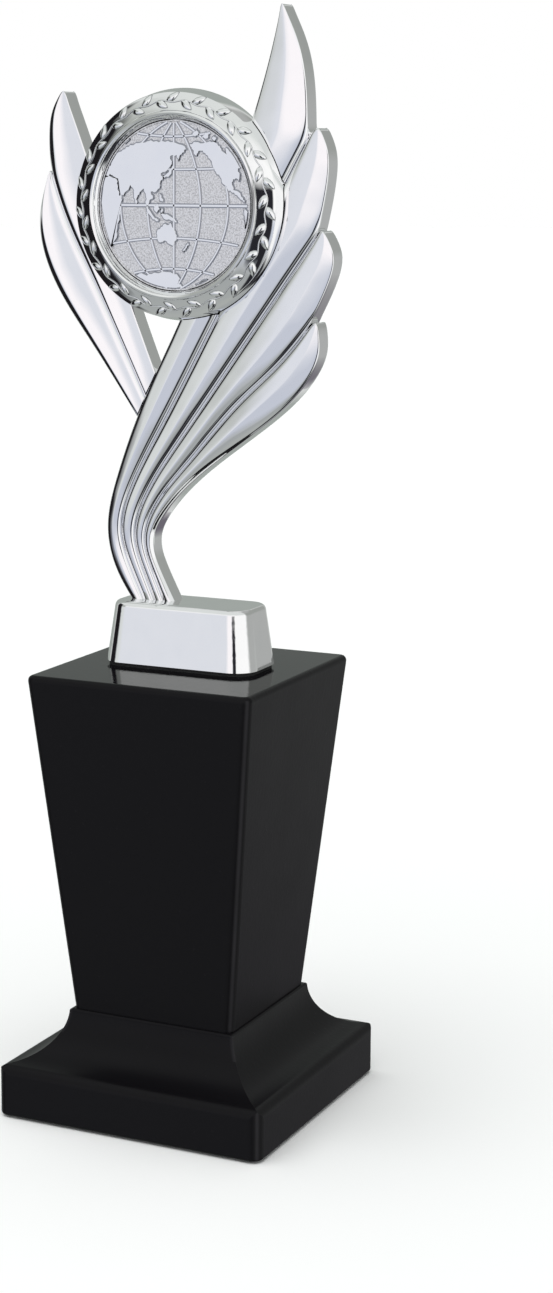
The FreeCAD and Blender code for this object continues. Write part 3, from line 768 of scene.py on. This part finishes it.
# ---- Globe disc ----
# A struck disc held in the ring by foam tape: a sandblasted sea with raised, polished land and a
# net of half-round lines for the meridians and parallels.
SEA_Y = -6.2
DISC_BACK = -5.0
DISC_R = 20.8
RIM_R = 20.45
RIM_DROP = 0.3
DISC_SECTION = (
    # radius, depth (Y)
    (0.0, DISC_BACK), (DISC_R, DISC_BACK), (DISC_R, SEA_Y - 0.2), (DISC_R - 0.1, SEA_Y - RIM_DROP),
    (RIM_R, SEA_Y - RIM_DROP), (RIM_R - 0.1, SEA_Y), (14.0, SEA_Y), (7.0, SEA_Y), (0.0, SEA_Y),
)
DISC_STEPS = 144
LAND_R = 20.2
LAND_RISE = 0.42
LAND_EDGE = 0.07
LAND_SHARP = 14
COAST_SECTION = ((-0.1, -0.05), (-0.1, 0.06), (0.3, 0.06), (0.36, -0.05))
# A coast juts out and back between its points, by a share of the step between them.
COAST_JUT = 0.13
LONGEST_JUT_STEP = 1.8
JUT_TURN = 2.4
LINE_R = 20.35
LINE_SECTION = ((-0.42, -0.05), (-0.40, 0.07), (-0.21, 0.09), (-0.19, 0.32), (0.19, 0.32), (0.21, 0.09),
                (0.40, 0.07), (0.42, -0.05))
POLE_Z = 21.0
MERIDIANS = (-14.8, -7.3, 0.0, 7.3, 14.8)
MERIDIAN_STEPS = 85
PARALLELS = (
    # height, bow, width
    (0.0, 0.0, 1.3), (8.8, 0.0015, 1.0), (-8.0, -0.0052, 1.0), (-15.5, -0.0104, 1.0), (16.8, 0.0080, 1.0),
)
PARALLEL_REACH = 20.5
PARALLEL_STEPS = 83
# Depths between which the relief's painted shade fades, from full near the sea to none higher up.
RELIEF_PAINTED_SHADE_DEPTHS = ((SEA_Y - 0.26) * MM, (SEA_Y - 0.10) * MM)
OUT = Vector((0, -1, 0))

LANDS = (
    # the great northern land, clockwise from its west
    ((-19.2, 6.2), (-19.2, 8.8), (-18.1, 9.8), (-17.6, 9.6), (-16.9, 12.3), (-15.2, 13.0),
     (-13.5, 13.7), (-12.1, 14.7), (-9.6, 15.2), (-7.7, 15.4), (-6.3, 15.9), (-4.1, 15.4),
     (-1.6, 15.7), (0.6, 15.2), (2.8, 14.5), (3.6, 13.7), (2.5, 12.8), (1.7, 12.0), (1.3, 10.7),
     (0.8, 12.2), (-0.8, 12.0), (-0.4, 10.1), (-1.6, 8.6), (-3.5, 7.7), (-2.9, 6.7), (-3.6, 5.7),
     (-3.8, 4.2), (-5.0, 3.2), (-6.2, 3.3), (-5.6, 1.8), (-6.6, 1.2), (-7.0, -0.4), (-7.7, 0.2),
     (-7.7, 2.0), (-8.3, 4.0), (-9.3, 3.2), (-10.0, 2.0), (-10.3, 0.1), (-11.1, 1.8), (-11.1, 3.7),
     (-12.0, 4.8), (-14.0, 2.2), (-14.8, 2.6), (-15.5, 6.5), (-16.7, 6.9), (-17.7, 7.6)),
    # the western land, cut by the rim
    ((-20.4, 5.4), (-18.9, 7.4), (-17.5, 7.0), (-15.9, 6.4), (-15.4, 4.6), (-15.1, 2.4), (-14.3, 1.4),
     (-14.7, 0.2), (-15.0, -2.5), (-15.6, -5.7), (-15.9, -8.2), (-17.3, -9.9), (-18.9, -10.8)),
    ((-2.5, -4.5), (-1.6, -4.8), (-0.9, -4.2), (-0.2, -5.5), (0.6, -6.5), (0.9, -7.7), (0.3, -9.4),
     (-0.2, -9.9), (-1.4, -9.4), (-2.2, -8.7), (-3.3, -9.0), (-4.1, -9.2), (-4.7, -8.0), (-4.7, -6.5),
     (-3.6, -5.3)),
    ((3.9, -8.9), (4.2, -9.6), (3.4, -10.5), (2.7, -11.4), (2.4, -11.0), (3.2, -10.1)),
    ((-7.7, -0.2), (-6.9, -0.9), (-5.2, -3.1), (-4.0, -3.5), (-4.3, -3.9), (-5.8, -3.5), (-7.5, -1.4)),
    ((-5.5, -0.2), (-4.4, 0.4), (-3.8, -0.9), (-4.8, -1.9), (-5.4, -1.2)),
    ((-3.4, -0.6), (-2.9, -0.9), (-3.1, -2.0), (-3.6, -1.7)),
    ((-3.6, -2.1), (-1.9, -2.1), (0.3, -3.3), (0.9, -4.1), (-0.5, -3.8), (-2.7, -3.3)),
    ((-4.1, 2.9), (-3.3, 2.5), (-2.8, 0.9), (-3.8, 1.1)),
    ((-0.4, 9.7), (0.1, 9.0), (-0.9, 7.4), (-2.5, 6.6), (-2.9, 7.1), (-1.4, 8.1)),
    # the southern ice, and its small western piece
    ((-10.9, -17.3), (-8.9, -16.7), (-7.5, -17.3), (-5.5, -16.5), (-1.9, -16.3), (0.9, -16.8),
     (1.8, -18.0), (1.2, -19.2), (3.0, -20.0), (0.0, -20.4), (-4.0, -20.2), (-7.5, -19.0)),
    ((5.9, -19.4), (8.6, -18.1), (9.4, -18.1), (7.6, -19.2)),
    # the eastern land, cut by the rim
    ((4.4, 14.9), (5.0, 13.7), (5.8, 12.3), (6.3, 12.0), (6.9, 13.2), (7.9, 13.3), (8.8, 12.3),
     (9.9, 11.3), (10.4, 10.6), (10.7, 9.2), (11.5, 8.2), (12.6, 7.0), (13.4, 5.3), (14.5, 4.6),
     (14.8, 3.6), (16.4, 3.2), (17.5, 2.2), (18.3, 1.5), (19.4, 0.8), (19.0, 1.9), (17.6, 3.5),
     (16.4, 3.9), (16.0, 5.3), (16.3, 6.4), (17.2, 6.6), (17.9, 5.9), (18.0, 7.0), (17.6, 8.9),
     (18.2, 9.4), (16.6, 11.6), (15.6, 13.0), (14.6, 13.9), (13.9, 13.9), (14.4, 12.5),
     (13.1, 13.3), (12.6, 14.4), (11.5, 15.2), (9.9, 15.6), (8.0, 15.1), (6.2, 15.4)),
    ((7.6, 16.3), (8.6, 17.7), (9.7, 17.2), (9.4, 16.3)),
    ((10.4, 16.1), (10.9, 17.0), (11.7, 16.2), (11.2, 15.6)),
    ((5.0, 17.2), (6.4, 18.6), (6.9, 17.4), (6.0, 16.6)),
    ((19.3, -0.4), (20.2, -1.5), (20.4, -3.6), (20.2, -5.7), (19.5, -4.0), (19.0, -1.9)),
    ((-14.6, 16.0), (-13.2, 17.0), (-12.4, 16.6), (-13.4, 15.4)),
)

disc_bm = bmesh.new()
turned(disc_bm, DISC_SECTION, DISC_STEPS)
disc = in_metres("globe_disc_sea", disc_bm)
smooth(disc.data, TURNED_SHARP)

lines_bm = bmesh.new()


def net_line(points, widen):
    """Half-round lines through those points that lie on the disc, in mm from its centre."""
    on_disc = [p for p in points if math.hypot(*p) < LINE_R]
    path = []
    for i, (x, z) in enumerate(on_disc):
        a = on_disc[max(i - 1, 0)]
        b = on_disc[min(i + 1, len(on_disc) - 1)]
        ahead = Vector((b[0] - a[0], 0, b[1] - a[1])).normalized()
        path.append((Vector((MEDAL_X + x, SEA_Y, MEDAL_Z + z)), ahead.cross(OUT), OUT))
    sweep(lines_bm, path, [(a * widen, h) for a, h in LINE_SECTION])


for reach in MERIDIANS:
    if reach == 0:
        net_line([(0.0, z) for z in np.linspace(-POLE_Z, POLE_Z, MERIDIAN_STEPS)], 1.0)
        continue
    radius = (POLE_Z ** 2 + reach ** 2) / (2 * abs(reach))
    middle = abs(reach) - radius
    swing = math.asin(min(POLE_Z / radius, 1.0))
    turns = np.linspace(-swing, swing, MERIDIAN_STEPS)
    arc = [(math.copysign(middle + radius * math.cos(t), reach), radius * math.sin(t)) for t in turns]
    net_line(arc, 1.0)
for z, bow, widen in PARALLELS:
    steps = np.linspace(-PARALLEL_REACH, PARALLEL_REACH, PARALLEL_STEPS)
    net_line([(x, z + bow * x * x) for x in steps], widen)
bmesh.ops.holes_fill(lines_bm, edges=[e for e in lines_bm.edges if e.is_boundary], sides=12)
bmesh.ops.recalc_face_normals(lines_bm, faces=lines_bm.faces)
net = in_metres("globe_lines", lines_bm)

land_bm = bmesh.new()
coast_bm = bmesh.new()
for n, outline in enumerate(LANDS):
    coast = []
    for i, p in enumerate(outline):
        q = outline[(i + 1) % len(outline)]
        step = Vector((q[0] - p[0], q[1] - p[1]))
        jut = COAST_JUT * min(step.length, LONGEST_JUT_STEP) * math.sin(JUT_TURN * i + n)
        for share, out in ((0.0, 0.0), (0.36, jut), (0.7, -0.7 * jut)):
            spot = Vector(p) + step * share + Vector((-step.y, step.x)) * out / max(step.length, 0.1)
            if spot.length > LAND_R:
                spot *= LAND_R / spot.length
            coast.append(spot)
    winding = sum(a.x * b.y - b.x * a.y for a, b in zip(coast, coast[1:] + coast[:1]))
    path = []
    for i, s in enumerate(coast):
        ahead = coast[(i + 1) % len(coast)] - coast[i - 1]
        side = Vector((ahead.y, 0, -ahead.x)).normalized() * (1 if winding > 0 else -1)
        path.append((Vector((MEDAL_X + s.x, SEA_Y, MEDAL_Z + s.y)), side, OUT))
    sweep(coast_bm, path, COAST_SECTION, closed=True)
    thicken(land_bm, [(MEDAL_X + s.x, SEA_Y + 0.02, MEDAL_Z + s.y) for s in coast], -LAND_RISE)
bmesh.ops.recalc_face_normals(land_bm, faces=land_bm.faces)
brink = [e for e in land_bm.edges if all(v.co.y < SEA_Y - 0.1 for v in e.verts) and e.calc_face_angle(0) > 1]
bmesh.ops.bevel(land_bm, geom=brink, offset=LAND_EDGE, offset_type="OFFSET", affect="EDGES", segments=2,
                profile=0.5, material=-1)
lands = in_metres("globe_lands", land_bm)
smooth(lands.data, LAND_SHARP)
bmesh.ops.recalc_face_normals(coast_bm, faces=coast_bm.faces)
coasts = in_metres("globe_coast_lines", coast_bm)

# Polished relief: bright on top, with painted shade, a darker colour low down beside the sea.
relief_silver = silver_plate("struck_relief", 200.0, 0.5, 0.10, 0.3,
                             (0.90, 0.91, 0.95, 1), (0.97, 0.97, 0.98, 1))
relief_tree = relief_silver.node_tree
depth = node_in(relief_tree, "SeparateXYZ", Vector=object_place(relief_tree)).outputs[1]
stain(relief_silver, fade(relief_tree, depth, *RELIEF_PAINTED_SHADE_DEPTHS), (0.36, 0.37, 0.40, 1))

sea_silver, sea_tree, sea_bsdf = shader("sandblasted_silver")
grain = noise(sea_tree, object_place(sea_tree), 2400.0, 1.5, Roughness=0.6)
patch = noise(sea_tree, object_place(sea_tree), 90.0, 3.0)
sparkle = total(sea_tree, 0.0, (fade(sea_tree, grain, 0.36, 0.60), 0.85), (patch, 0.25))
finish(sea_tree, sea_bsdf, mix(sea_tree, sparkle, (0.62, 0.61, 0.61, 1), (1.0, 0.99, 1.0, 1)),
       total(sea_tree, 0.3, (patch, 0.1)), grain, 0.6, 0.1 * MM)
sea_bsdf.inputs["Metallic"].default_value = 1.0

disc.data.materials.append(sea_silver)
for piece in (net, lands, coasts):
    piece.data.materials.append(relief_silver)
for piece in (disc, net, lands, coasts):
    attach(piece, "root")
    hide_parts("globe_disc")


# ---- Figure block ----
# The solid foot of the figure: a rounded block, cast and polished like the wings, on a thin
# gasket of black foam that keeps it from marking the lacquer. The disc's tape is foam too.
block_silver = silver_plate("polished_silver_block", 45.0, 1.6, 0.22, 1.0,
                            (0.92, 0.925, 0.93, 1), (0.985, 0.98, 0.975, 1))
BLACK_FOAM = ((0.012, 0.012, 0.013, 1), (0.07, 0.07, 0.072, 1))
GREY_FOAM = ((0.10, 0.10, 0.105, 1), (0.30, 0.30, 0.31, 1))


def dress(node, material):
    """Gives a CAD node its finish in place of the plain one it was packed with."""
    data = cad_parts[node].data
    data.materials.clear()
    data.materials.append(material)


def cell_foam(name, dark, light, cell_size):
    """Closed-cell foam: small rounded cells that show as pits on the cut edge."""
    material, tree, bsdf = shader(name)
    place = object_place(tree)
    cells = node_in(tree, "TexVoronoi", Vector=place, Scale=1.0 / cell_size).outputs["Distance"]
    blotch = noise(tree, place, 260.0, 3.0)
    finish(tree, bsdf, mix(tree, calc(tree, "MULTIPLY", cells, blotch), dark, light),
           total(tree, 0.7, (blotch, 0.2)), cells, 0.6, 0.1 * MM)
    return material


dress("figure_block", block_silver)
dress("block_gasket", cell_foam("black_cell_foam", *BLACK_FOAM, 0.4 * MM))
dress("disc_tape", cell_foam("grey_tape_foam", *GREY_FOAM, 0.3 * MM))


# ---- Screws, pins, rod, washers and nut ----
# Zinc-plated steel. The plating is a little cloudy, with a bluish cast and fine turning marks. The
# spring washer is greyer, with a faint yellow bloom.
BLUE_ZINC = ((0.47, 0.50, 0.54, 1), (0.76, 0.77, 0.76, 1))
GREY_ZINC = ((0.35, 0.36, 0.36, 1), (0.62, 0.61, 0.55, 1))


def zinc_plate(name, turning, deep, bright):
    """Zinc plating over turned steel; turning stretches the tool marks round the part."""
    material, tree, bsdf = shader(name)
    marks = noise(tree, stretched(tree, turning), 900.0, 3.0)
    cloud = noise(tree, object_place(tree), 380.0, 4.0)
    finish(tree, bsdf, mix(tree, cloud, deep, bright), total(tree, 0.16, (cloud, 0.25)),
           marks, 0.35, 0.05 * MM)
    bsdf.inputs["Metallic"].default_value = 1.0
    return material


upright_zinc = zinc_plate("zinc_on_upright_parts", (0.6, 0.6, 5.0), *BLUE_ZINC)
across_zinc = zinc_plate("zinc_on_level_screws", (0.6, 5.0, 0.6), *BLUE_ZINC)
spring_zinc = zinc_plate("zinc_on_spring_washer", (2.0, 2.0, 2.0), *GREY_ZINC)
for node in ("ring_screws", "left_wing_screws"):
    dress(node, across_zinc)
for node in ("stem_screws", "locating_pins", "plinth_screws", "tie_rod", "plain_washer", "tie_nut"):
    dress(node, upright_zinc)
dress("spring_washer", spring_zinc)


# ---- Column and plinth ----
# Solid wood, sprayed with satin black lacquer and rubbed down. The film shows a fine orange peel,
# the grain just telegraphs through it, and it is thin and slightly pale along the sharp edges.
EDGE_WIDTH = 0.9 * MM
TOP_POLISH = 0.72
LACQUER_BLACK = (0.0046, 0.0042, 0.0052, 1)
LACQUER_PALE = (0.022, 0.021, 0.024, 1)

film, film_in, film_out = effect("lacquer_film", ("Grain", "Edge Line"), ("Wear", "Roughness", "Height"))
film_place = object_place(film)
peel = noise(film, film_place, 900.0, 2.0)
rub = noise(film, film_place, 45.0, 5.0, Roughness=0.6)
dust = node_in(film, "TexVoronoi", Vector=film_place, Scale=240.0).outputs["Distance"]
speck = calc(film, "LESS_THAN", dust, 0.07)
pale = calc(film, "MULTIPLY", film_in["Edge Line"], calc(film, "ADD", rub, 0.15))
join(film, total(film, pale, (speck, 0.12)), film_out["Wear"])
join(film, total(film, 0.26, (rub, 0.16), (pale, 0.1)), film_out["Roughness"])
join(film, total(film, 0.0, (peel, 0.10), (film_in["Grain"], 0.05), (speck, 0.10)), film_out["Height"])


def lacquer(name, grain_stretch, top_polish=0.0):
    """Satin black lacquer; the four upright corners lie where |x| and |y| are equal.

    Level faces can be polished brighter than the sides."""
    material, tree, bsdf = shader(name)
    grain = noise(tree, stretched(tree, grain_stretch), 420.0, 4.0)
    axes = node_in(tree, "SeparateXYZ", Vector=object_place(tree)).outputs
    gap = calc(tree, "SUBTRACT", calc(tree, "ABSOLUTE", axes[0]), calc(tree, "ABSOLUTE", axes[1]))
    corner = fade(tree, calc(tree, "ABSOLUTE", gap), 0.25 * EDGE_WIDTH, EDGE_WIDTH, 1.0, 0.0)
    facing = node_in(tree, "SeparateXYZ", Vector=node_in(tree, "NewGeometry").outputs["Normal"])
    upright = calc(tree, "LESS_THAN", calc(tree, "ABSOLUTE", facing.outputs[2]), 0.5)
    coat = node_in(tree, "Group", node_tree=film, Grain=grain,
                   Edge_Line=calc(tree, "MULTIPLY", corner, upright)).outputs
    level = calc(tree, "GREATER_THAN", facing.outputs[2], 0.95)
    duller = calc(tree, "SUBTRACT", 1.0, calc(tree, "MULTIPLY", level, top_polish))
    finish(tree, bsdf, mix(tree, coat["Wear"], LACQUER_BLACK, LACQUER_PALE),
           calc(tree, "MULTIPLY", coat["Roughness"], duller), coat["Height"], 0.5, 0.4 * MM)
    bsdf.inputs["Specular IOR Level"].default_value = 0.13
    return material


# The column's top, where the figure stands, is polished until it mirrors the block.
dress("column", lacquer("column_lacquer", (3.0, 3.0, 0.18), TOP_POLISH))
dress("plinth", lacquer("plinth_lacquer", (0.18, 3.0, 3.0)))


# ---- Dowels ----
# Two beech dowels, glued into the column and the plinth, with bare wood and open pores that run
# upright along the grain.
beech, beech_tree, beech_bsdf = shader("bare_beech")
beech_grain = noise(beech_tree, stretched(beech_tree, (5.0, 5.0, 0.4)), 300.0, 5.0)
finish(beech_tree, beech_bsdf,
       mix(beech_tree, beech_grain, (0.36, 0.22, 0.11, 1), (0.68, 0.50, 0.31, 1)),
       total(beech_tree, 0.5, (beech_grain, 0.2)), beech_grain, 0.5, 0.2 * MM)
dress("column_dowels", beech)


# ---- Felt pad ----
# Black felt under the plinth, cut square and glued into a shallow recess: matted short fibres
# with lighter lint in them.
felt, felt_tree, felt_bsdf = shader("black_felt")
fibre = noise(felt_tree, object_place(felt_tree), 2600.0, 4.0, Distortion=2.0)
matted = noise(felt_tree, object_place(felt_tree), 160.0, 3.0)
lint = calc(felt_tree, "MULTIPLY", fibre, matted)
finish(felt_tree, felt_bsdf, mix(felt_tree, lint, (0.008, 0.008, 0.009, 1), (0.05, 0.05, 0.052, 1)),
       total(felt_tree, 0.85, (fibre, 0.1)), fibre, 0.9, 0.3 * MM)
felt_bsdf.inputs["Sheen Weight"].default_value = 0.4
felt_bsdf.inputs["Sheen Roughness"].default_value = 0.5
dress("felt_pad", felt)
